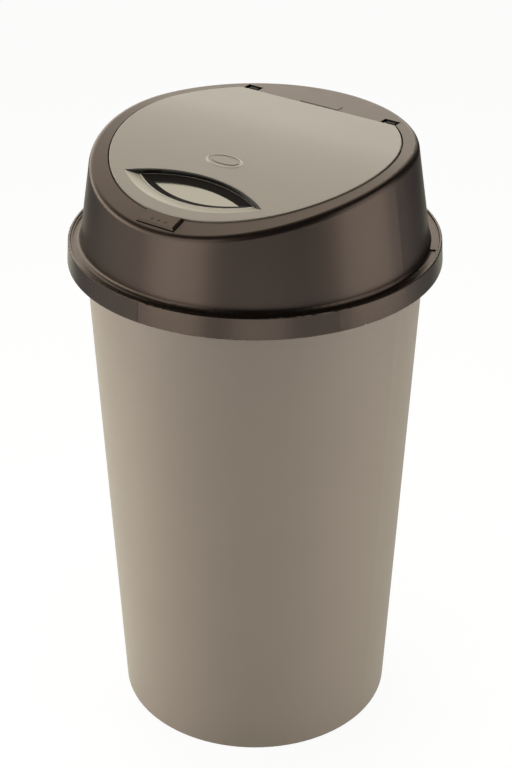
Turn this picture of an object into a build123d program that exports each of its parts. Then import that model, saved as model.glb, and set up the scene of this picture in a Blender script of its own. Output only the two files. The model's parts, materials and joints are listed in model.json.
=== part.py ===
from build123d import *
import os
from math import asin, atan, cos, degrees, radians, sin, sqrt

# Push-top bin: a tapered round body, a band that clamps the bag on the body's rim, and a
# lid whose top is level at the hinge and curves down to the front, with a sprung flap in it.
# Millimetres. The origin is the middle of the base on the floor, +Z is up, the push tab
# faces -Y and the flap's hinge is at +Y.

# Clearances
seat_gap = 0.3          # between pieces that rest on each other
bag_gap = 2.5           # between the body and the band's skirt, where the bag is pinched
band_gap = 0.8          # around the lid inside the band
flap_gap = 1.5          # seam around the flap
pin_clearance = 0.08    # radial, where a knuckle turns on its pin
press_clearance = 0.02  # radial, where a pin or screw sits tight in its hole
screw_clearance = 0.25  # radial, where a screw passes through a plate
head_gap = 0.02         # under a flat screw head on the curved liner

# Body
body_height = 556.0
base_radius = 151.0
mouth_radius = 176.7
body_wall = 2.5
base_edge_radius = 1.5
floor_edge_radius = 4.5
foot_height = 4.0
foot_width = 16.0
rim_reach = 9.3
rim_drop = 9.0

# Band round the rim
band_room = 6.5         # between the rim and the band's wall
band_draft = 1.5
band_wall = 2.5
band_upstand = 5.2
band_height = 23.0
band_edge_radius = 1.2
skirt_wall = 2.2
band_skirt_drop = 14.0
lug_count = 6
lug_width = 18.0
lug_height = 2.5
line_width = 0.8        # fine upright lines outside the lugs
line_depth = 0.25
nick_angle = -21.0      # one nick in the band's lower edge
nick_width = 3.0
nick_height = 1.4

# Lid cover
lid_height = 109.3
lid_wall = 2.5
lid_flange_width = 9.15
lid_taper = 16.2
lid_border = 17.4       # from the lid's top radius in to the flap
lid_foot_blend = 5.0
lid_edge_radius = 7.0
lid_skirt_drop = 9.0
bead_height = 1.3
bead_width = 1.6
pad_height = 1.2        # the flange is this much higher along its back
pad_start = 23.5        # where it steps up, counted from +X

# Crown: the surface that the lid's top and the flap follow
crown_radius = 655.0
crown_line_y = 49.0     # level behind this line, a cylinder in front of it
cover_inset = 1.0       # the cover's top lies this far under the flap's

# Flap
flap_chord_inset = 36.3
flap_wall = 2.5
flap_skirt_depth = 5.0
flap_skirt_wall = 2.0
flap_edge_radius = 1.0
ledge_depth = 7.0
ledge_wall = 2.0
ledge_width = 6.0
ledge_back_inset = 13.0
liner_room = 1.5        # between the liner and what hangs under the flap
liner_wall = 2.0
liner_inset = 7.5
liner_chord_inset = 9.0

# Grip recess in the flap: two circles meet in a lens, and its front side is a ramp
grip_inset = 38.0
grip_front_centre = 106.4
grip_front_radius = 132.6
grip_back_centre = -127.95
grip_back_radius = 156.25
grip_depth = 5.0
grip_ramp = 12.0
grip_wall = 2.2
insert_plate = 1.0
insert_lip = 1.6
insert_dish_slope = 8.6
insert_dish_depth = 4.0
insert_seat = 3.0
bezel_wall = 1.2        # dark trim along the recess's back wall
bezel_drop = 0.5        # its top lies this far under the flap's

# Plain oval boss on the flap
boss_setback = 58.0     # behind the middle of the grip
boss_half_length = 21.0
boss_half_width = 11.0
boss_line = 1.7
boss_height = 0.7
boss_bevel = 0.45

# Hinge
hinge_setback = 8.5     # axis behind the flap's straight edge
hinge_drop = 4.0        # axis below the cover's top
pin_radius = 1.5
knuckle_radius = 3.2
arm_inner_x = 81.5
arm_outer_x = 92.0
arm_length = 20.0
arm_below = 1.5
notch_margin = 4.0
notch_back = 0.6
ear_width = 3.0

# Hinge spring, its axle and its cap
wire_radius = 0.6
coil_radius = 2.4
coil_pitch = 1.3
coil_turns = 10
spring_leg_front = 15.5
spring_leg_back = 12.0
leg_lug = 4.0
window_half_length = 20.5
window_half_width = 3.6
cap_half_length = 24.0
cap_half_width = 5.0
cap_height = 0.35
cap_leg_length = 6.0
cap_leg_wall = 1.0
cap_leg_drop = 5.0
cap_leg_x = 13.0

# Push tab, in its own frame: origin on the cover's top, y up the slope, z square to it
tab_setback = 8.0       # in front of the flap's edge
tab_half_width = 22.0
tab_front = 8.8
tab_height = 2.8
tab_chamfer = 2.0
tab_depth = 8.0
tab_roof = 2.8
tab_wall = 2.0
tab_gap = 0.5
tab_seam = 0.9          # around the tab in the cover
tab_travel = 3.2
tab_flange = 2.3
tab_flange_wall = 2.0
tab_flange_length = 9.0
stem_half_width = 4.0
stem_length = 3.8
stem_reach = 12.7
tab_pip_radius = 1.8
tab_pip_spacing = 8.0
tab_pip_height = 0.35

# Latch lever, in the tab's frame
pivot_y = 6.0
pivot_z = -26.0
lever_half_width = 9.0
hub_radius = 4.0
arm_half_width = 5.0
hook_half_width = 6.0
hook_throat = 2.6
nose_height = 3.0
nose_gap = 0.6

# Striker on the flap, in the tab's frame
striker_face_y = 15.0
striker_wall = 2.0
striker_half_width = 14.0
striker_top = -4.5
striker_bottom = -15.5
striker_lip = 2.2
striker_lip_reach = 3.7
striker_lip_half_width = 8.0
striker_pad_wall = 3.5
striker_pad_margin = 3.0

# Latch bracket, in the tab's frame
bracket_half_width = 27.0
bracket_wall = 2.0
bracket_margin = 2.2
bracket_floor_gap = 1.0
bracket_side = 8.0
bracket_ear_x = 9.6
bracket_ear_wall = 2.4
bracket_ear_half = 4.0
bracket_flange = 9.0
bracket_flange_half = 5.0
lug_length = 5.5
lug_radius = 3.5

# Latch spring
latch_spring_radius = 1.65
latch_wire_radius = 0.35
latch_spring_turns = 6

# Screws
screw_radius = 1.45
screw_head_radius = 2.7
screw_head_height = 1.9
screw_slot = 0.7
liner_screw_length = 8.5
latch_screw_length = 7.0
striker_screw_length = 5.0
striker_screw_margin = 3.2
liner_screw_margin = 36.0
liner_screw_y = 45.0
liner_screw_back_x = 50.0
liner_screw_back_margin = 26.0

# Rubber buffers on the ledge
buffer_radius = 2.5
buffer_stem_radius = 1.2
buffer_head = 1.7
buffer_angles = [-140.0, -40.0, 25.0, 155.0]

# Worked out from the sizes above
rim_radius = mouth_radius + rim_reach
band_radius = rim_radius + band_room + band_wall
web_bottom = body_height + seat_gap
web_top = web_bottom + band_wall
band_top = web_top + band_upstand
band_bottom = band_top - band_height
lid_seat = web_top + seat_gap
flange_top = lid_seat + lid_wall
crown_top = lid_seat + lid_height
crown_axis_z = crown_top - crown_radius
far = 4.0 * band_radius                 # longer than anything in the bin
prism_low = crown_top - 0.5 * band_radius
prism_high = crown_top + band_height
band_skirt_outer = mouth_radius - body_wall - bag_gap
band_skirt_inner = band_skirt_outer - skirt_wall
lid_skirt_outer = band_skirt_inner - band_gap
lid_skirt_inner = lid_skirt_outer - skirt_wall
band_slope = band_draft / band_height
flange_radius = band_radius - band_slope * (flange_top - band_bottom) - band_wall - band_gap
lid_foot_radius = flange_radius - lid_flange_width
lid_top_radius = lid_foot_radius - lid_taper
flap_radius = lid_top_radius - lid_border
flap_chord_y = flap_radius - flap_chord_inset
opening_radius = flap_radius + flap_gap
opening_chord_y = flap_chord_y + flap_gap
throat_radius = opening_radius - ledge_width
grip_y = grip_inset - flap_radius
boss_y = grip_y + boss_setback
insert_bottom = grip_depth + insert_dish_depth + insert_plate
liner_depth = insert_bottom + liner_room
liner_screw_places = [
    (flap_radius - liner_screw_margin, -liner_screw_y),
    (flap_radius - liner_screw_margin, liner_screw_y),
    (liner_screw_back_x, flap_chord_y - liner_screw_back_margin),
]
hinge_y = flap_chord_y + hinge_setback
ear_radius = hinge_drop - seat_gap
pin_hole = pin_radius + pin_clearance
tab_y = -flap_radius - tab_setback
lever_top = -stem_reach - seat_gap      # the pad that the tab's stem presses
pad_front = -tab_front - seat_gap
pad_back = pad_front + stem_length + seat_gap
striker_front = striker_face_y - striker_wall
striker_lip_y = striker_front - striker_lip_reach
striker_screw_x = striker_half_width - striker_screw_margin
striker_screw_z = (striker_top + striker_bottom) / 2
nose_low = striker_bottom + striker_lip + seat_gap
nose_tip_y = striker_front - nose_gap
bracket_front = -tab_front - bracket_margin
bracket_back = pivot_y + bracket_ear_half + bracket_wall
bracket_floor = pivot_z - hub_radius - bracket_floor_gap - bracket_wall


def blend(z, low_z, low_radius, high_z, high_radius):
    """Radius of a straight tapered wall at height z."""
    return low_radius + (high_radius - low_radius) * (z - low_z) / (high_z - low_z)


def body_radius(z):
    return blend(z, 0.0, base_radius, body_height, mouth_radius)


def band_outer(z):
    return band_radius - band_slope * (z - band_bottom)


def lid_radius(z):
    return blend(z, flange_top, lid_foot_radius, crown_top, lid_top_radius)


def crown_z(y, depth=0.0):
    """Height of the crown's surface, or of a surface depth below it, at y."""
    ahead = max(crown_line_y - y, 0)
    return crown_axis_z + sqrt((crown_radius - depth) ** 2 - ahead ** 2)


def on_crown(x, y, depth=0.0):
    """Place depth under the crown's point at x, y, with z square to it and y up the slope."""
    tilt = degrees(asin(max(crown_line_y - y, 0) / crown_radius))
    return Location((x, y, crown_z(y)), (tilt, 0, 0)) * Pos(0, 0, -depth)


def crown_solid(depth):
    """Everything that lies more than depth below the crown."""
    front_y = -far / 4 - band_wall
    middle_y = (front_y + crown_line_y) / 2
    low = prism_low - band_height
    front = (front_y, crown_z(front_y, depth))
    line = (crown_line_y, crown_z(crown_line_y, depth))
    curve = ThreePointArc(front, (middle_y, crown_z(middle_y, depth)), line)
    rest = Polyline(line, (far / 4, line[1]), (far / 4, low), (front_y, low), front)
    return extrude(Plane.YZ * make_face([curve, rest]), amount=far / 2, both=True)


def prism(outline):
    return extrude(Pos(0, 0, prism_low) * outline, amount=prism_high - prism_low)


def crown_layer(outline, top_depth, bottom_depth):
    """The part of an upright prism that lies between two depths under the crown."""
    return prism(outline) & crown_solid(top_depth) - crown_solid(bottom_depth)


def crown_edges(shape, depth):
    """Edges round the surface depth below the crown, without the line where it turns level."""
    def on_surface(edge):
        middle = edge @ 0.5
        off_line = abs(middle.Y - crown_line_y) > 0.1
        return off_line and abs(middle.Z - crown_z(middle.Y, depth)) < 0.02
    return shape.edges().filter_by(on_surface)


def flap_outline(radius, chord_y):
    """A disc cut straight across at the hinge side."""
    beyond = Pos(0, chord_y + radius) * Rectangle(3 * radius, 2 * radius)
    return Circle(radius) - beyond


def block(x0, x1, y0, y1, z0, z1):
    middle = Pos((x0 + x1) / 2, (y0 + y1) / 2, (z0 + z1) / 2)
    return middle * Box(abs(x1 - x0), abs(y1 - y0), abs(z1 - z0))


def section(points, rounds=()):
    """Outline in the XZ plane; rounds lists (corner number, radius)."""
    face = make_face(Polyline(*points, close=True))
    for number, radius in rounds:
        corner = face.vertices().sort_by_distance(Vertex(*points[number]))[0]
        face = fillet(corner, radius)
    return Plane.XZ * face


def turned(points, rounds=()):
    return revolve(section(points, rounds), Axis.Z)


def x_rod(radius, x0, x1, y, z):
    """Round rod along X."""
    return Location(((x0 + x1) / 2, y, z), (0, 90, 0)) * Cylinder(radius, abs(x1 - x0))


def rod(radius, z0, z1):
    return Pos(0, 0, (z0 + z1) / 2) * Cylinder(radius, z1 - z0)


def screw(length):
    """Pan-head screw: the head's underside is at z = 0 and the shank points up."""
    head = rod(screw_head_radius, -screw_head_height, 0)
    head = fillet(head.edges().sort_by(Axis.Z)[0], screw_head_height / 2)
    slot = Pos(0, 0, -screw_head_height) * Box(screw_head_radius, screw_slot, screw_slot * 2)
    cross = Pos(0, 0, -screw_head_height) * Box(screw_slot, screw_head_radius, screw_slot * 2)
    shank = rod(screw_radius, -screw_slot / 2, length)
    shank = chamfer(shank.edges().sort_by(Axis.Z)[-1], screw_radius / 2)
    return head + shank - slot - cross


tab_frame = on_crown(0, tab_y, cover_inset)
grip_frame = on_crown(0, grip_y)
hinge_z = crown_z(hinge_y, cover_inset) - hinge_drop


def make_bin_body():
    rim_under = body_height - body_wall
    floor_top = foot_height + body_wall
    points = [
        (0, foot_height),
        (base_radius - foot_width, foot_height),
        (base_radius - foot_width, 0),
        (base_radius, 0),
        (body_radius(rim_under), rim_under),
        (rim_radius - body_wall, rim_under),
        (rim_radius - body_wall, body_height - rim_drop),
        (rim_radius, body_height - rim_drop),
        (rim_radius, body_height),
        (body_radius(body_height) - body_wall, body_height),
        (body_radius(floor_top) - body_wall, floor_top),
        (0, floor_top),
    ]
    rounds = [(3, base_edge_radius), (8, body_wall / 2), (10, floor_edge_radius),
              (2, body_wall)]
    return turned(points, rounds)


def make_rim_band():
    outer_at_web = band_outer(web_bottom) - band_wall
    points = [
        (band_outer(band_bottom), band_bottom),
        (band_outer(band_top), band_top),
        (band_outer(band_top) - band_wall, band_top),
        (band_outer(web_top) - band_wall, web_top),
        (band_skirt_inner, web_top),
        (band_skirt_inner, web_bottom - band_skirt_drop),
        (band_skirt_outer, web_bottom - band_skirt_drop),
        (band_skirt_outer, web_bottom),
        (outer_at_web, web_bottom),
        (band_outer(band_bottom) - band_wall, band_bottom),
    ]
    band = turned(points, [(1, band_edge_radius), (0, band_edge_radius / 2)])
    lug = block(rim_radius + band_gap, band_radius - band_wall / 2, -lug_width / 2,
                lug_width / 2, band_bottom + lug_height / 2, band_bottom + 3 * lug_height / 2)
    line_foot = Pos(band_radius, 0, band_bottom)
    line = Rot(0, -degrees(atan(band_slope)), 0) * Box(2 * line_depth, line_width, far)
    for step in range(lug_count):
        turn = Rot(0, 0, -90 + step * 360 / lug_count)
        band += turn * lug
        band -= turn * line_foot * line
    nick = block(band_radius - 2 * band_wall, band_radius + band_wall, -nick_width / 2,
                 nick_width / 2, band_bottom - nick_height, band_bottom + nick_height)
    return band - Rot(0, 0, nick_angle) * nick


def cover_shell():
    """Flange and tapered wall with the crown cut across its top, hollow inside."""
    bead_top = flange_top + bead_height
    above = crown_top + band_height
    outside = [
        (0, lid_seat),
        (flange_radius, lid_seat),
        (flange_radius, bead_top),
        (flange_radius - bead_width, bead_top),
        (flange_radius - bead_width, flange_top),
        (lid_foot_radius, flange_top),
        (lid_radius(above), above),
        (0, above),
    ]
    outer = turned(outside, [(5, lid_foot_blend)]) & crown_solid(cover_inset)
    outer = fillet(crown_edges(outer, cover_inset), lid_edge_radius)
    inside = [
        (0, flange_top),
        (lid_foot_radius - lid_wall, flange_top),
        (lid_radius(above) - lid_wall, above),
        (0, above),
    ]
    inner = turned(inside) & crown_solid(cover_inset + lid_wall)
    inner = fillet(crown_edges(inner, cover_inset + lid_wall), lid_edge_radius - lid_wall)
    mouth = rod(lid_skirt_inner, lid_seat - lid_wall, flange_top + lid_wall)
    skirt = rod(lid_skirt_outer, lid_seat - lid_skirt_drop, lid_seat + lid_wall / 2)
    skirt -= rod(lid_skirt_inner, lid_seat - lid_skirt_drop, lid_seat + lid_wall / 2)
    return outer - inner - mouth + skirt + flange_pad()


def flange_pad():
    """Raised part of the flange, from one side round the back to the other."""
    inner = lid_foot_radius - lid_wall / 2
    outer = flange_radius - bead_width / 2
    side = section([
        (inner, flange_top - lid_wall / 2),
        (outer, flange_top - lid_wall / 2),
        (outer, flange_top + pad_height),
        (inner, flange_top + pad_height),
    ])
    return Rot(0, 0, pad_start) * revolve(side, Axis.Z, 180 - 2 * pad_start)


def flap_ledge():
    """Upright neck round the flap's opening and the ledge that its skirt comes down on."""
    back_y = flap_chord_y - ledge_back_inset
    beyond = Pos(0, back_y + opening_radius) * Rectangle(far, 2 * opening_radius)
    outer = Circle(opening_radius + ledge_wall) - beyond
    neck = crown_layer(outer - Circle(opening_radius), cover_inset + lid_wall / 2,
                       ledge_depth + ledge_wall)
    ledge = crown_layer(outer - Circle(throat_radius), ledge_depth, ledge_depth + ledge_wall)
    reach = bracket_half_width + bracket_wall
    latch_room = tab_frame * block(-reach, reach, -tab_front - tab_seam, far / 8,
                                   -tab_depth - 2 * tab_roof, tab_height)
    return neck + ledge - latch_room


def hinge_ears():
    """Ears under the cover that hold the two hinge pins and the spring's axle."""
    ears = []
    outer_x = arm_outer_x + notch_margin
    inner_x = arm_inner_x - notch_margin
    for start in (outer_x, inner_x - ear_width, window_half_length):
        for side in (-1, 1):
            x0 = side * start
            x1 = side * (start + ear_width)
            upper = block(x0, x1, hinge_y - ear_radius, hinge_y + ear_radius,
                          hinge_z, hinge_z + hinge_drop - lid_wall / 2)
            ears.append(upper + x_rod(ear_radius, x0, x1, hinge_y, hinge_z))
    return ears


def lid_notches():
    """Holes in the cover for the two hinge arms and, between them, the spring."""
    back_y = hinge_y + knuckle_radius + notch_back
    outer_x = arm_outer_x + notch_margin
    inner_x = arm_inner_x - notch_margin
    low = hinge_z - lid_wall
    holes = []
    for side in (-1, 1):
        holes.append(block(side * inner_x, side * outer_x, flap_chord_y, back_y,
                           low, prism_high))
    holes.append(block(-window_half_length, window_half_length,
                       hinge_y - window_half_width, hinge_y + window_half_width,
                       low, prism_high))
    return holes


def bracket_lug_x():
    return bracket_half_width + bracket_flange / 2


def make_lid_cover():
    cover = cover_shell()
    cover -= prism(flap_outline(opening_radius, opening_chord_y))
    cover += flap_ledge()
    for hole in lid_notches():
        cover -= hole
    for ear in hinge_ears():
        cover += ear
    cover -= x_rod(pin_radius + press_clearance, -lid_top_radius / 1.5, lid_top_radius / 1.5,
                   hinge_y, hinge_z)
    wide = tab_half_width + tab_seam
    cover -= tab_frame * block(-wide, wide, -tab_front - tab_seam, lid_wall * 4,
                               -tab_depth - tab_travel, tab_height * 3)
    for side in (-1, 1):
        lug = rod(lug_radius, -lid_wall - lug_length, -lid_wall / 2)
        lug -= rod(screw_radius + press_clearance, -lid_wall - lug_length, -lid_wall)
        cover += tab_frame * Pos(side * bracket_lug_x(), 0, 0) * lug
    lug_top = hinge_z + hinge_drop - lid_wall / 2
    lug_low = hinge_z - coil_radius + wire_radius + seat_gap
    lug_x = coil_half_length()
    cover += block(-lug_x - leg_lug / 2, -lug_x + leg_lug / 2,
                   hinge_y + spring_leg_back - leg_lug, hinge_y + spring_leg_back,
                   lug_low, lug_top)
    for place in buffer_places():
        cover -= place * rod(buffer_stem_radius + press_clearance, -ledge_wall * 2, ledge_wall)
    return cover


def grip_lens(front_cut, back_cut, z0, z1):
    """Upright lens between two circles, each circle made smaller by its cut."""
    front = Pos(0, grip_front_centre, 0) * rod(grip_front_radius - front_cut, z0, z1)
    back = Pos(0, grip_back_centre, 0) * rod(grip_back_radius - back_cut, z0, z1)
    return front & back


def ramp_lens(low_front, high_front, low_back, high_back, z0, z1):
    """Lens with sloping sides: each circle's cut changes from z0 to z1."""
    middle = (z0 + z1) / 2
    front = Cone(grip_front_radius - low_front, grip_front_radius - high_front, z1 - z0)
    back = Cylinder(grip_back_radius - low_back, z1 - z0)
    if low_back != high_back:
        back = Cone(grip_back_radius - low_back, grip_back_radius - high_back, z1 - z0)
    return (Pos(0, grip_front_centre, middle) * front) & (Pos(0, grip_back_centre, middle) * back)


def flap_bosses():
    """Posts under the flap that the liner is screwed to."""
    posts = []
    for x, y in liner_screw_places:
        for side in (-1, 1):
            post = rod(lug_radius, -liner_depth, -flap_wall / 2)
            post -= rod(screw_radius + press_clearance, -liner_depth, -flap_wall)
            posts.append(on_crown(side * x, y) * post)
    return posts


def oval_boss():
    """Bare oval with a raised edge and a raised middle."""
    frame = on_crown(0, boss_y)
    inner_length = boss_half_length - boss_line
    inner_width = boss_half_width - boss_line
    ring = Ellipse(boss_half_length, boss_half_width) - Ellipse(inner_length, inner_width)
    middle = Ellipse(inner_length - 2 * boss_line, inner_width - 2 * boss_line)
    boss = extrude(ring + middle, amount=2 * boss_height)
    boss = chamfer(boss.edges().group_by(Axis.Z)[-1], boss_bevel)
    return frame * Pos(0, 0, -boss_height) * boss


def make_flap_panel():
    outline = flap_outline(flap_radius, flap_chord_y)
    inner = flap_outline(flap_radius - flap_skirt_wall, flap_chord_y - flap_skirt_wall)
    panel = crown_layer(outline, 0, flap_wall)
    panel = fillet(crown_edges(panel, 0), flap_edge_radius)
    panel += crown_layer(outline - inner, flap_wall - seat_gap, flap_skirt_depth)
    floor = -grip_depth - insert_plate
    tub = ramp_lens(grip_ramp - grip_wall, -grip_wall, -grip_wall, -grip_wall,
                    -grip_depth, -flap_wall / 2)
    tub += grip_lens(grip_ramp - grip_wall, -grip_wall, floor - grip_wall / 2, -grip_depth)
    panel += grip_frame * tub
    cut = ramp_lens(grip_ramp, 0, 0, 0, -grip_depth, 0)
    cut += grip_lens(grip_ramp, 0, floor, -grip_depth)
    cut += grip_lens(grip_ramp + insert_seat, insert_seat, floor - 2 * grip_wall, floor)
    panel -= grip_frame * cut
    panel += oval_boss()
    for post in flap_bosses():
        panel += post
    for side in (-1, 1):
        panel -= arm_slot(side)
    lug_x = coil_half_length()
    lug_y = hinge_y - spring_leg_front
    panel += block(lug_x - leg_lug / 2, lug_x + leg_lug / 2, lug_y, lug_y + leg_lug,
                   hinge_z - coil_radius + wire_radius + seat_gap,
                   crown_z(lug_y, flap_wall / 2))
    return panel


def arm_slot(side):
    """Gap in the flap's skirt that one of the liner's hinge arms passes through."""
    return block(side * (arm_inner_x - seat_gap), side * (arm_outer_x + seat_gap),
                 flap_chord_y - 2 * flap_skirt_wall, hinge_y,
                 crown_z(flap_chord_y, 2 * flap_skirt_depth), crown_z(flap_chord_y, flap_wall))


def hinge_arm(side):
    x0 = side * arm_inner_x
    x1 = side * arm_outer_x
    arm = block(x0, x1, hinge_y - arm_length, hinge_y, hinge_z - arm_below,
                crown_z(hinge_y, flap_wall + seat_gap))
    arm += x_rod(knuckle_radius, x0, x1, hinge_y, hinge_z)
    return arm - x_rod(pin_hole, x0 - side, x1 + side, hinge_y, hinge_z)


def make_flap_liner():
    radius = flap_radius - liner_inset
    chord = flap_chord_y - liner_chord_inset
    outline = flap_outline(radius, chord)
    inner = flap_outline(radius - liner_wall, chord - liner_wall)
    low = liner_depth + liner_wall
    liner = crown_layer(outline, liner_depth, low)
    liner += crown_layer(outline - inner, flap_wall + seat_gap, liner_depth + liner_wall / 2)
    half = striker_half_width + striker_pad_margin
    floor = cover_inset - low
    liner -= tab_frame * block(-half, half, -striker_face_y, striker_face_y, 2 * floor, 0)
    liner += tab_frame * block(-half, half, striker_face_y, striker_face_y + striker_pad_wall,
                               floor, striker_top + striker_lip / 2)
    for x, y in liner_screw_places:
        for side in (-1, 1):
            hole = rod(screw_radius + screw_clearance, -2 * low, 0)
            liner -= on_crown(side * x, y) * hole
    for place in striker_screw_spots():
        liner -= place * rod(screw_radius + press_clearance, -striker_wall,
                             2 * striker_pad_wall)
    for side in (-1, 1):
        liner += hinge_arm(side)
    return liner


def make_grip_bezel():
    """Thin upright trim that lines the recess's back wall and stands on its shelf."""
    floor = -grip_depth - insert_plate
    shape = ramp_lens(grip_ramp + seat_gap, seat_gap, seat_gap, seat_gap, -grip_depth, 0)
    shape += grip_lens(grip_ramp + seat_gap, seat_gap, floor, -grip_depth)
    shape -= grip_lens(-grip_ramp, seat_gap + bezel_wall, floor, 0)
    return grip_frame * shape & crown_solid(bezel_drop)


def make_grip_insert():
    """Dished trim piece that lies in the recess."""
    floor = -grip_depth - insert_plate
    plate = grip_lens(grip_ramp + seat_gap, 2 * seat_gap + bezel_wall, floor, -grip_depth)
    inset = insert_seat + seat_gap
    tub = grip_lens(grip_ramp + inset, inset, -insert_bottom, floor)
    dish = ramp_lens(grip_ramp + insert_lip + insert_dish_slope, grip_ramp + insert_lip,
                     insert_lip + insert_dish_slope, insert_lip,
                     -grip_depth - insert_dish_depth, -grip_depth)
    return grip_frame * (plate + tub - dish)


def make_hinge_pin(side):
    reach = notch_margin + ear_width - seat_gap
    x0 = side * (arm_inner_x - reach)
    x1 = side * (arm_outer_x + reach)
    pin = x_rod(pin_radius, x0, x1, hinge_y, hinge_z)
    ends = pin.edges().filter_by(GeomType.CIRCLE)
    return chamfer(ends, pin_radius / 4)


def make_spring_axle():
    reach = window_half_length + ear_width - seat_gap
    axle = x_rod(pin_radius, -reach, reach, hinge_y, hinge_z)
    ends = axle.edges().filter_by(GeomType.CIRCLE)
    return chamfer(ends, pin_radius / 4)


def coil_half_length():
    return coil_pitch * coil_turns / 2


def coil(pitch, turns, radius, wire):
    """Coil along +Z from z = 0, starting on the +X side."""
    path = Helix(pitch=pitch, height=pitch * turns, radius=radius)
    start = Plane(origin=path @ 0, z_dir=path % 0)
    return sweep(start * Circle(wire), path=path, is_frenet=True)


def make_hinge_spring():
    """Torsion spring: the leg that lifts the flap points -Y, the other one +Y."""
    half = coil_half_length()
    wound = coil(coil_pitch, coil_turns, coil_radius, wire_radius)
    spring = Location((-half, 0, 0), (0, 90, 0)) * wound
    for x, y0, y1 in [(-half, 0, spring_leg_back), (half, -spring_leg_front, 0)]:
        place = Location((x, (y0 + y1) / 2, -coil_radius), (90, 0, 0))
        spring += place * Cylinder(wire_radius, y1 - y0)
        spring += Pos(x, 0, -coil_radius) * Sphere(wire_radius)
    return Pos(0, hinge_y, hinge_z) * spring


def make_spring_cap():
    """Raised cover over the spring's window, held by four thin legs."""
    outline = Pos(0, hinge_y) * Rectangle(2 * cap_half_length, 2 * cap_half_width)
    plate = crown_layer(outline, cover_inset - cap_height, cover_inset)
    plate = fillet(plate.edges().filter_by(Axis.Z), cap_height)
    top = crown_z(hinge_y, cover_inset)
    for side_x in (-1, 1):
        for side_y in (-1, 1):
            x = side_x * cap_leg_x
            y = hinge_y + side_y * (window_half_width - seat_gap)
            plate += block(x - cap_leg_length / 2, x + cap_leg_length / 2,
                           y - side_y * cap_leg_wall, y,
                           top - cap_leg_drop, top + cap_height / 2)
    return plate


def make_push_tab():
    tab = block(-tab_half_width, tab_half_width, -tab_front, far / 8, -tab_depth, tab_height)
    rising = tab.edges().filter_by(lambda e: abs((e @ 0.5).Z - tab_height) < 0.01)
    rising = rising.filter_by(lambda e: (e @ 0.5).Y < far / 8 - 0.01)
    tab = chamfer(rising, tab_chamfer)
    inner = tab_half_width - tab_wall
    roof_low = tab_height - tab_roof
    tab -= block(-inner, inner, -tab_front + tab_wall, far / 4, -2 * tab_depth, roof_low)
    ear_top = -lid_wall - seat_gap
    for side in (-1, 1):
        tab += block(side * (tab_half_width - tab_wall), side * (tab_half_width + tab_flange),
                     -tab_flange_length / 2, tab_flange_length / 2,
                     ear_top - tab_flange_wall, ear_top)
    tab += block(-stem_half_width, stem_half_width, -tab_front, -tab_front + stem_length,
                 -stem_reach, roof_low)
    for column in (-1, 0, 1):
        tab += Pos(column * tab_pip_spacing, -tab_front / 4, tab_height) * Cylinder(
            tab_pip_radius, 2 * tab_pip_height)
    behind = prism(Circle(opening_radius + tab_gap))
    return tab_frame * tab - behind


def lever_side(points, half_width):
    face = make_face(Polyline(*points, close=True))
    return extrude(Plane.YZ * face, amount=half_width, both=True)


def make_latch_lever():
    """Rocker: the tab's stem presses its front pad, and its hook lets go of the striker."""
    arm = lever_side([
        (pad_front, lever_top),
        (pad_back, lever_top),
        (pivot_y, pivot_z + hub_radius),
        (pivot_y - hub_radius / 2, pivot_z - hub_radius * 0.85),
        (pad_back, lever_top - tab_wall * 1.5),
        (pad_front, lever_top - tab_wall * 1.5),
    ], arm_half_width)
    hook_back = pivot_y + hook_throat
    hook = lever_side([
        (pivot_y - tab_gap, pivot_z),
        (pivot_y - tab_gap, nose_low + nose_height),
        (hook_back, nose_low + nose_height),
        (nose_tip_y, nose_low + nose_height / 3),
        (nose_tip_y, nose_low),
        (hook_back - tab_gap, nose_low),
        (hook_back, pivot_z),
    ], hook_half_width)
    hub = x_rod(hub_radius, -lever_half_width, lever_half_width, pivot_y, pivot_z)
    lever = arm + hook + hub
    lever -= x_rod(pin_hole, -far / 8, far / 8, pivot_y, pivot_z)
    return tab_frame * lever


def make_latch_pin():
    reach = bracket_ear_x + bracket_ear_wall
    return tab_frame * x_rod(pin_radius, -reach, reach, pivot_y, pivot_z)


def make_latch_bracket():
    """Cradle screwed under the cover, which holds the lever's pin and guides the tab."""
    inner = bracket_half_width - bracket_wall
    floor_top = bracket_floor + bracket_wall
    flange_top_z = -lid_wall - lug_length
    bracket = block(-bracket_half_width, bracket_half_width, bracket_front, bracket_back,
                    bracket_floor, floor_top)
    for side in (-1, 1):
        bracket += block(side * inner, side * bracket_half_width,
                         -bracket_side, bracket_side, bracket_floor, flange_top_z)
        bracket += block(side * inner, side * (bracket_half_width + bracket_flange),
                         -bracket_flange_half, bracket_flange_half,
                         flange_top_z - bracket_wall, flange_top_z)
        ear_in = side * bracket_ear_x
        ear_out = side * (bracket_ear_x + bracket_ear_wall)
        bracket += block(ear_in, ear_out, pivot_y - bracket_ear_half,
                         pivot_y + bracket_ear_half, bracket_floor, pivot_z)
        bracket += x_rod(bracket_ear_half, ear_in, ear_out, pivot_y, pivot_z)
        bracket -= Pos(side * bracket_lug_x(), 0, 0) * rod(
            screw_radius + screw_clearance, bracket_floor, 0)
    bracket -= x_rod(pin_radius + press_clearance, -far / 8, far / 8, pivot_y, pivot_z)
    return tab_frame * bracket


def make_latch_spring():
    low = bracket_floor + bracket_wall + seat_gap + latch_wire_radius
    high = lever_top - tab_wall * 1.5 - seat_gap - latch_wire_radius
    pitch = (high - low) / latch_spring_turns
    wound = coil(pitch, latch_spring_turns, latch_spring_radius, latch_wire_radius)
    return tab_frame * Pos(0, (pad_front + pad_back) / 2, low) * wound


def striker_screw_spots():
    """Places on the striker's front face, with z pointing into the liner."""
    return [tab_frame * Location((side * striker_screw_x, striker_front, striker_screw_z),
                                 (-90, 0, 0)) for side in (-1, 1)]


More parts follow.
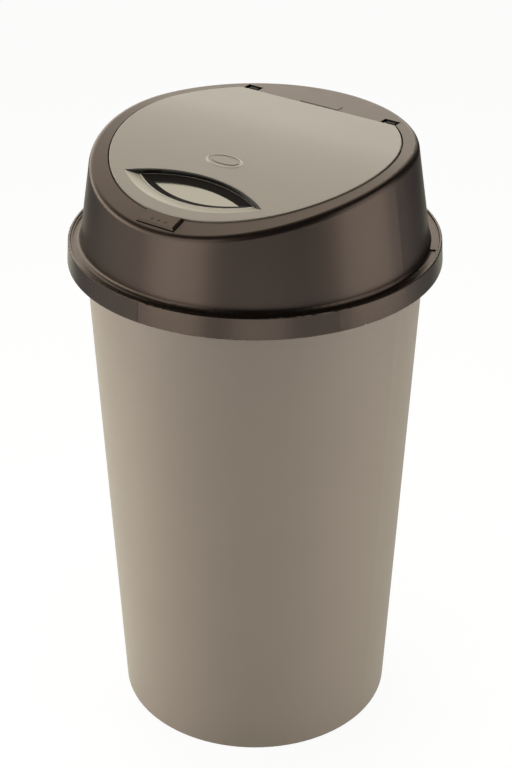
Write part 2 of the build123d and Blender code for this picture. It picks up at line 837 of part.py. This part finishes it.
def make_flap_striker():
    striker = block(-striker_half_width, striker_half_width, striker_front, striker_face_y,
                    striker_bottom, striker_top)
    striker += block(-striker_lip_half_width, striker_lip_half_width, striker_lip_y,
                     striker_front + striker_wall / 2, striker_bottom,
                     striker_bottom + striker_lip)
    striker = tab_frame * striker
    for place in striker_screw_spots():
        striker -= place * rod(screw_radius + screw_clearance, -striker_wall, 2 * striker_wall)
    return striker


def make_striker_screws():
    return Compound([place * screw(striker_screw_length) for place in striker_screw_spots()])


def make_liner_screws():
    places = [on_crown(side * x, y, liner_depth + liner_wall + head_gap)
              for x, y in liner_screw_places for side in (-1, 1)]
    return Compound([place * screw(liner_screw_length) for place in places])


def make_latch_screws():
    low = -lid_wall - lug_length - bracket_wall
    places = [tab_frame * Pos(side * bracket_lug_x(), 0, low) for side in (-1, 1)]
    return Compound([place * screw(latch_screw_length) for place in places])


def buffer_places():
    middle = opening_radius - ledge_width / 2
    return [on_crown(middle * cos(radians(angle)), middle * sin(radians(angle)), ledge_depth)
            for angle in buffer_angles]


def make_flap_buffers():
    head = rod(buffer_radius, 0, buffer_head)
    head = fillet(head.edges().sort_by(Axis.Z)[-1], buffer_head / 3)
    stem = rod(buffer_stem_radius, -ledge_wall - buffer_head, 0)
    barb = rod(buffer_stem_radius + press_clearance * 20, -ledge_wall - buffer_head,
               -ledge_wall - buffer_head / 2)
    plug = head + stem + barb
    return Compound([place * plug for place in buffer_places()])


nodes = {
    "bin_body": make_bin_body(),
    "rim_band": make_rim_band(),
    "lid_cover": make_lid_cover(),
    "flap_panel": make_flap_panel(),
    "flap_liner": make_flap_liner(),
    "grip_bezel": make_grip_bezel(),
    "grip_insert": make_grip_insert(),
    "hinge_pin_left": make_hinge_pin(-1),
    "hinge_pin_right": make_hinge_pin(1),
    "hinge_spring": make_hinge_spring(),
    "spring_axle": make_spring_axle(),
    "spring_cap": make_spring_cap(),
    "push_tab": make_push_tab(),
    "latch_lever": make_latch_lever(),
    "latch_pin": make_latch_pin(),
    "latch_bracket": make_latch_bracket(),
    "latch_spring": make_latch_spring(),
    "flap_striker": make_flap_striker(),
    "striker_screws": make_striker_screws(),
    "liner_screws": make_liner_screws(),
    "latch_screws": make_latch_screws(),
    "flap_buffers": make_flap_buffers(),
}

os.makedirs("parts", exist_ok=True)
for name, shape in nodes.items():
    export_step(shape, "parts/" + name + ".step")
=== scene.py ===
import json
import math
import bpy
import numpy as np
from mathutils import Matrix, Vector

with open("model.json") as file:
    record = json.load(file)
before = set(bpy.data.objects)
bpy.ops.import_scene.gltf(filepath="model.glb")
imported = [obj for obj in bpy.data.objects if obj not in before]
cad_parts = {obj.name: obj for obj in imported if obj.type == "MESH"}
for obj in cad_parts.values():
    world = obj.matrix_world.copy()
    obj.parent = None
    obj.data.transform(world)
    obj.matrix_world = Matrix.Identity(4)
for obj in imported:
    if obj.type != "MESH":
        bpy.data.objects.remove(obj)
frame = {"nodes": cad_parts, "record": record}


def saveSize():
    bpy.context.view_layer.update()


saveSize()
print("stage: frame loaded")

shot = {
    "azimuth": 35.7,  # degrees, 0 looks along +Y
    "elevation": 29.67,
    "distance": 1.9632,
    "targetHeight": 0.3827,
    "lens": 84.69,
    "sensor": 36.0,
    "shiftX": 0.00124,
}


def towards(azimuth, elevation):
    a, e = math.radians(azimuth), math.radians(elevation)
    return Vector((math.sin(a) * math.cos(e), -math.cos(a) * math.cos(e), math.sin(e)))


def makeCamera():
    data = bpy.data.cameras.new("shotCamera")
    data.lens = shot["lens"]
    data.sensor_width = shot["sensor"]
    data.shift_x = shot["shiftX"]
    data.clip_start, data.clip_end = 0.05, 50.0
    camera = bpy.data.objects.new("shotCamera", data)
    bpy.context.collection.objects.link(camera)
    back = towards(shot["azimuth"], shot["elevation"])
    camera.location = Vector((0, 0, shot["targetHeight"])) + back * shot["distance"]
    camera.rotation_euler = (-back).to_track_quat("-Z", "Y").to_euler()
    bpy.context.scene.camera = camera


# azimuths are counted from the camera, in degrees, to the right
softBoxes = {
    "leftBox": {"azimuth": -47, "reach": 1.25, "height": 0.75, "size": (0.85, 1.4), "power": 3.02},
    "rightBox": {"azimuth": 73, "reach": 1.25, "height": 0.75, "size": (1.0, 1.4), "power": 3.07},
    "frontGlow": {"azimuth": 2, "reach": 1.3, "height": 0.12, "size": (0.7, 0.22), "power": 0.288},
}

# these fill in soft light and don't show in the glossy walls
fillBoxes = {
    "leftFill": {"azimuth": -80, "reach": 1.2, "height": 0.25, "size": (0.6, 0.5), "power": 6.71},
    "rightFill": {"azimuth": 62, "reach": 1.4, "height": 0.3, "size": (0.6, 0.6), "power": 6.71},
    "topFill": {"azimuth": 180, "reach": 0.3, "height": 2.4, "size": (1.4, 1.4), "power": 20.1},
}

lampColor = (1.0, 0.97, 0.92)
aimHeight = 0.6  # the lamps point at the bin's middle line, no higher than this

room = {
    "ambient": 0.02,  # soft light from all round, not seen in the glossy walls
    "tint": (1.0, 0.985, 0.9),
    "horizon": 2.0,  # how bright the backdrop shows low down
    "upper": 1,  # and higher up
    "lowAzimuth": -138,  # where the low part of the backdrop is, from the camera
    "highAzimuth": -165,
    "lowEdge": (0.25, 0.75),  # cosines from that azimuth, where it fades in and is full
    "highEdge": (0.75, 0.93),
    "horizonEdge": (0.25, 0.45),  # sines of the height, where low turns to high
    "upperEdge": (0.8, 0.9),  # and where high fades out
}


def makeLights():
    for name, box in (softBoxes | fillBoxes).items():
        data = bpy.data.lights.new(name, "AREA")
        data.shape = "RECTANGLE"
        data.size, data.size_y = box["size"]
        data.energy = box["power"]
        data.color = lampColor
        lamp = bpy.data.objects.new(name, data)
        bpy.context.collection.objects.link(lamp)
        lamp.visible_camera = False
        lamp.visible_glossy = name in softBoxes
        lamp.location = towards(shot["azimuth"] + box["azimuth"], 0) * box["reach"]
        lamp.location.z = box["height"]
        aim = Vector((0, 0, min(box["height"], aimHeight))) - lamp.location
        lamp.rotation_euler = aim.to_track_quat("-Z", "Y").to_euler()


def newTree(owner):
    owner.use_nodes = True
    tree = owner.node_tree
    tree.nodes.clear()
    return tree


def addNode(tree, kind, **values):
    node = tree.nodes.new(kind)
    for key, value in values.items():
        if hasattr(node, key):
            setattr(node, key, value)
        else:
            node.inputs[key].default_value = value
    return node


def join(tree, source, target):
    tree.links.new(source, target)


def dotWith(tree, source, way):
    node = addNode(tree, "ShaderNodeVectorMath", operation="DOT_PRODUCT")
    node.inputs[1].default_value = way
    join(tree, source, node.inputs[0])
    return node.outputs["Value"]


def ease(tree, source, start, end, low, high):
    node = addNode(tree, "ShaderNodeMapRange", interpolation_type="SMOOTHSTEP")
    for name, value in (("From Min", start), ("From Max", end), ("To Min", low), ("To Max", high)):
        node.inputs[name].default_value = value
    join(tree, source, node.inputs["Value"])
    return node.outputs["Result"]


def calc(tree, operation, first, second):
    node = addNode(tree, "ShaderNodeMath", operation=operation)
    for socket, value in zip(node.inputs, (first, second)):
        if isinstance(value, (int, float)):
            socket.default_value = value
        else:
            join(tree, value, socket)
    return node.outputs[0]


def mixTone(tree, share, first, second):
    node = addNode(tree, "ShaderNodeMix", data_type="RGBA")
    join(tree, share, node.inputs[0])
    for socket, value in ((node.inputs[6], first), (node.inputs[7], second)):
        if isinstance(value, bpy.types.NodeSocket):
            join(tree, value, socket)
        else:
            socket.default_value = (*value, 1)
    return node.outputs[2]


def mixShaders(tree, share, first, second):
    node = addNode(tree, "ShaderNodeMixShader")
    for socket, source in zip(node.inputs, (share, first, second)):
        join(tree, source, socket)
    return node.outputs[0]


def backdropShine(tree):
    coords = addNode(tree, "ShaderNodeTexCoord").outputs["Generated"]
    level = addNode(tree, "ShaderNodeVectorMath", operation="MULTIPLY")
    level.inputs[1].default_value = (1, 1, 0)
    join(tree, coords, level.inputs[0])
    unit = addNode(tree, "ShaderNodeVectorMath", operation="NORMALIZE")
    join(tree, level.outputs[0], unit.inputs[0])
    facing = {name: dotWith(tree, unit.outputs[0], towards(shot["azimuth"] + room[name], 0))
              for name in ("lowAzimuth", "highAzimuth")}
    height = dotWith(tree, coords, (0, 0, 1))
    low = calc(tree, "MULTIPLY", ease(tree, facing["lowAzimuth"], *room["lowEdge"], 0.0, room["horizon"]),
               ease(tree, height, *room["horizonEdge"], 1.0, 0.0))
    high = calc(tree, "MULTIPLY", ease(tree, facing["highAzimuth"], *room["highEdge"], 0.0, room["upper"]),
                ease(tree, height, *room["horizonEdge"], 0.0, 1.0))
    high = calc(tree, "MULTIPLY", high, ease(tree, height, *room["upperEdge"], 1.0, 0.0))
    return calc(tree, "ADD", low, high)


def makeWorld():
    world = bpy.data.worlds.new("studio")
    bpy.context.scene.world = world
    tree = newTree(world)
    out = addNode(tree, "ShaderNodeOutputWorld")
    rays = addNode(tree, "ShaderNodeLightPath")
    soft = calc(tree, "SUBTRACT", 1.0, rays.outputs["Is Glossy Ray"])
    soft = calc(tree, "MULTIPLY", soft, room["ambient"])
    studio = addNode(tree, "ShaderNodeBackground")
    studio.inputs["Color"].default_value = (*room["tint"], 1)
    join(tree, calc(tree, "ADD", backdropShine(tree), soft), studio.inputs["Strength"])
    white = addNode(tree, "ShaderNodeBackground")
    white.inputs["Color"].default_value = (1, 1, 1, 1)
    seen = mixShaders(tree, rays.outputs["Is Camera Ray"], studio.outputs[0], white.outputs[0])
    join(tree, seen, out.inputs[0])


ground = {
    "paint": (0.8, 0.79, 0.77),
    "whiteShare": 0.86,  # the rest of what the camera sees is paint with its shadow
    "white": 1.08,
    "tint": (1.0, 0.99, 0.8),
    "farTint": (0.95, 0.97, 1.0),
    "tableGlow": 0.51,  # how bright the pale table shows in the glossy walls
    "leftGlow": 0.2,  # added to the left
    "farGlow": 0.42,  # the floor beyond the table, in front
    "farBack": 0.05,  # and behind
    "farEdge": (-0.9, 0.1),
    "leftAzimuth": -130,
    "leftEdge": (0.3, 0.85),
    "tableEdge": (0.8, 1.05),  # metres from the middle, where the table ends
    "halfSize": 12.0,
}


def tableShine(tree):
    coords = addNode(tree, "ShaderNodeTexCoord").outputs["Object"]
    across = dotWith(tree, coords, towards(shot["azimuth"] + 90, 0))
    ahead = calc(tree, "MAXIMUM", dotWith(tree, coords, towards(shot["azimuth"], 0)), 0.0)
    reach = calc(tree, "SQRT", calc(tree, "ADD", calc(tree, "MULTIPLY", across, across),
                                    calc(tree, "MULTIPLY", ahead, ahead)), 0.0)
    onTable = ease(tree, reach, *ground["tableEdge"], 1.0, 0.0)
    unit = addNode(tree, "ShaderNodeVectorMath", operation="NORMALIZE")
    join(tree, coords, unit.inputs[0])
    left = towards(shot["azimuth"] + ground["leftAzimuth"], 0)
    glow = ease(tree, dotWith(tree, unit.outputs[0], left), *ground["leftEdge"], 0.0, ground["leftGlow"])
    glow = calc(tree, "ADD", glow, ground["tableGlow"])
    near = calc(tree, "MULTIPLY", onTable, glow)
    front = dotWith(tree, unit.outputs[0], towards(shot["azimuth"], 0))
    fade = ease(tree, front, *ground["farEdge"], ground["farBack"], ground["farGlow"])
    beyond = calc(tree, "MULTIPLY", calc(tree, "SUBTRACT", 1.0, onTable), fade)
    hue = mixTone(tree, onTable, ground["farTint"], ground["tint"])
    return hue, calc(tree, "ADD", near, beyond)


def emission(tree, strength, color=(1, 1, 1)):
    node = addNode(tree, "ShaderNodeEmission")
    for name, value in (("Color", color), ("Strength", strength)):
        if isinstance(value, bpy.types.NodeSocket):
            join(tree, value, node.inputs[name])
        elif name == "Color":
            node.inputs[name].default_value = (*value, 1)
        else:
            node.inputs[name].default_value = value
    return node.outputs[0]


def makeFloor():
    mesh = bpy.data.meshes.new("floor")
    r = ground["halfSize"]
    mesh.from_pydata([(-r, -r, 0), (r, -r, 0), (r, r, 0), (-r, r, 0)], [], [(0, 1, 2, 3)])
    floor = bpy.data.objects.new("floor", mesh)
    bpy.context.collection.objects.link(floor)
    material = bpy.data.materials.new("paleFloor")
    tree = newTree(material)
    out = addNode(tree, "ShaderNodeOutputMaterial")
    rays = addNode(tree, "ShaderNodeLightPath")
    paint = addNode(tree, "ShaderNodeBsdfDiffuse")
    paint.inputs["Color"].default_value = (*ground["paint"], 1)
    hue, glow = tableShine(tree)
    seen = mixShaders(tree, rays.outputs["Is Glossy Ray"], paint.outputs[0], emission(tree, glow, hue))
    share = calc(tree, "MULTIPLY", rays.outputs["Is Camera Ray"], ground["whiteShare"])
    seen = mixShaders(tree, share, seen, emission(tree, ground["white"]))
    join(tree, seen, out.inputs["Surface"])
    mesh.materials.append(material)


makeCamera()
makeLights()
makeWorld()
makeFloor()
bpy.context.scene.view_settings.view_transform = "Standard"
print("stage: camera, lights, floor")

plastics = {
    "body_plastic": {"color": (0.365, 0.31, 0.268), "metal": 0.15, "rough": 0.3, "grain": 0.04},
    "flap_plastic": {"color": (0.385, 0.34, 0.285), "metal": 0.15, "rough": 0.3, "grain": 0.04},
    "band_plastic": {"color": (0.155, 0.118, 0.096), "metal": 0.95, "rough": 0.27, "grain": 0.005},
    "lid_plastic": {"color": (0.155, 0.118, 0.096), "metal": 0.95, "rough": 0.35, "grain": 0.03},
    "tab_plastic": {"color": (0.155, 0.118, 0.096), "metal": 0.95, "rough": 0.32, "grain": 0.03},
    "liner_plastic": {"color": (0.03, 0.027, 0.025), "metal": 0.0, "rough": 0.5, "grain": 0.05},
    "latch_plastic": {"color": (0.7, 0.69, 0.64), "metal": 0.0, "rough": 0.4, "grain": 0.03},
    "bezel_gloss": {"color": (0.02, 0.018, 0.016), "metal": 0.0, "rough": 0.12, "grain": 0.004},
    "buffer_rubber": {"color": (0.03, 0.03, 0.03), "metal": 0.0, "rough": 0.7, "grain": 0.1},
    "steel": {"color": (0.6, 0.6, 0.6), "metal": 1.0, "rough": 0.25, "grain": 0.02},
    "grip_chrome": {"color": (0.46, 0.43, 0.365), "metal": 1.0, "rough": 0.14, "grain": 0.004},
}

# slow drifts of tone, patches of wear and a fine grain, as noise scales and reach
surface = {
    "toneScale": 14.0,
    "toneReach": 0.03,
    "wearScale": 55.0,
    "wearReach": 0.03,
    "grainScale": 900.0,
    "grainDepth": 0.0005,
}

# the dish's floor is bright metal; its slopes are painted near black, a painted dark reflection, and its
# rim is painted pale, a painted highlight
dish = {
    "slope": (0.03, 0.027, 0.025),
    "rim": (0.6, 0.56, 0.47),
    "tilt": 14.0,  # degrees that the dish leans to the front
    "floorEnd": (0.6472, 0.6474),  # metres along the dish's axis
    "rimStart": (0.6508, 0.651),
}

# raised oval on the flap, its ring painted a little paler than the rest: a painted highlight
ovalHighlight = {
    "centre": (0.0, -0.0516),
    "half": (0.021, 0.011),
    "ring": (0.86, 0.9, 1.02, 1.04),
    "color": (0.66, 0.61, 0.53),
}


# ramp in front of the dish, between the recess's two arcs, painted paler: a painted highlight where it
# catches the light
rampHighlight = {
    "arcs": ((0.157, 0.1326), (-0.0773, 0.1562)),  # centre along the leaning flap, radius
    "edge": 0.0002,
    "color": (0.59, 0.54, 0.44),
}


# shares of the dish's metal floor and of its pale rim, the painted highlight; between them lies the
# painted dark reflection
def dishShares(tree):
    coords = addNode(tree, "ShaderNodeTexCoord").outputs["Object"]
    a = math.radians(dish["tilt"])
    height = dotWith(tree, coords, (0, -math.sin(a), math.cos(a)))
    floor = ease(tree, height, *dish["floorEnd"], 1.0, 0.0)
    return floor, ease(tree, height, *dish["rimStart"], 0.0, 1.0)


def paintedRampHighlight(tree):
    coords = addNode(tree, "ShaderNodeTexCoord").outputs["Object"]
    a = math.radians(dish["tilt"])
    across = dotWith(tree, coords, (1, 0, 0))
    along = dotWith(tree, coords, (0, math.cos(a), math.sin(a)))
    shares = []
    for centre, radius in rampHighlight["arcs"]:
        offset = calc(tree, "SUBTRACT", along, centre)
        square = calc(tree, "ADD", calc(tree, "MULTIPLY", across, across),
                      calc(tree, "MULTIPLY", offset, offset))
        reach = calc(tree, "SQRT", square, 0.0)
        shares.append(ease(tree, reach, radius - rampHighlight["edge"], radius, 1.0, 0.0))
    return calc(tree, "MULTIPLY", *shares)


def paintedOvalHighlight(tree):
    coords = addNode(tree, "ShaderNodeTexCoord").outputs["Object"]
    scaled = []
    for way, centre, half in (((1, 0, 0), ovalHighlight["centre"][0], ovalHighlight["half"][0]),
                              ((0, 1, 0), ovalHighlight["centre"][1], ovalHighlight["half"][1])):
        offset = calc(tree, "SUBTRACT", dotWith(tree, coords, way), centre)
        offset = calc(tree, "DIVIDE", offset, half)
        scaled.append(calc(tree, "MULTIPLY", offset, offset))
    reach = calc(tree, "SQRT", calc(tree, "ADD", *scaled), 0.0)
    start, full, ending, gone = ovalHighlight["ring"]  # in parts of the oval's own half size
    inner = ease(tree, reach, start, full, 0.0, 1.0)
    return calc(tree, "MULTIPLY", inner, ease(tree, reach, ending, gone, 1.0, 0.0))


def mouldedPlastic(name, look):
    material = bpy.data.materials.new(name)
    tree = newTree(material)
    out = addNode(tree, "ShaderNodeOutputMaterial")
    skin = addNode(tree, "ShaderNodeBsdfPrincipled")
    skin.inputs["Metallic"].default_value = look["metal"]
    coords = addNode(tree, "ShaderNodeTexCoord")
    cloud = addNode(tree, "ShaderNodeTexNoise", Scale=surface["toneScale"], Detail=3.0)
    join(tree, coords.outputs["Object"], cloud.inputs["Vector"])
    color = np.array(look["color"])
    reach = surface["toneReach"]
    tone = mixTone(tree, cloud.outputs["Fac"], color * (1 - reach), color * (1 + reach))
    if name.startswith("grip"):
        floor, rim = dishShares(tree)
        # painted dark reflection: the dish's slopes painted near black and not metal
        tone = mixTone(tree, floor, dish["slope"], tone)
        # painted highlight: the dish's rim painted pale
        tone = mixTone(tree, rim, tone, dish["rim"])
        join(tree, floor, skin.inputs["Metallic"])
    if name.startswith("flap"):
        # painted highlight on the raised oval's ring
        tone = mixTone(tree, paintedOvalHighlight(tree), tone, ovalHighlight["color"])
        # painted highlight on the ramp in front of the dish
        tone = mixTone(tree, paintedRampHighlight(tree), tone, rampHighlight["color"])
    join(tree, tone, skin.inputs["Base Color"])
    rub = addNode(tree, "ShaderNodeTexNoise", Scale=surface["wearScale"], Detail=4.0)
    join(tree, coords.outputs["Object"], rub.inputs["Vector"])
    rough = addNode(tree, "ShaderNodeMapRange")
    rough.inputs["To Min"].default_value = look["rough"] - surface["wearReach"]
    rough.inputs["To Max"].default_value = look["rough"] + surface["wearReach"]
    join(tree, rub.outputs["Fac"], rough.inputs["Value"])
    join(tree, rough.outputs["Result"], skin.inputs["Roughness"])
    grain = addNode(tree, "ShaderNodeTexNoise", Scale=surface["grainScale"], Detail=2.0)
    join(tree, coords.outputs["Object"], grain.inputs["Vector"])
    bump = addNode(tree, "ShaderNodeBump", Strength=look["grain"], Distance=surface["grainDepth"])
    join(tree, grain.outputs["Fac"], bump.inputs["Height"])
    join(tree, bump.outputs["Normal"], skin.inputs["Normal"])
    join(tree, skin.outputs[0], out.inputs["Surface"])
    return material


def dressNodes():
    finishes = {name: mouldedPlastic(name + "_finish", look) for name, look in plastics.items()}
    slots = {part["node"]: part["material_slot"] for part in frame["record"]["subparts"]}
    for node, piece in frame["nodes"].items():
        piece.data.materials.clear()
        piece.data.materials.append(finishes[slots[node]])


dressNodes()
print("stage: finishes")

saveSize()
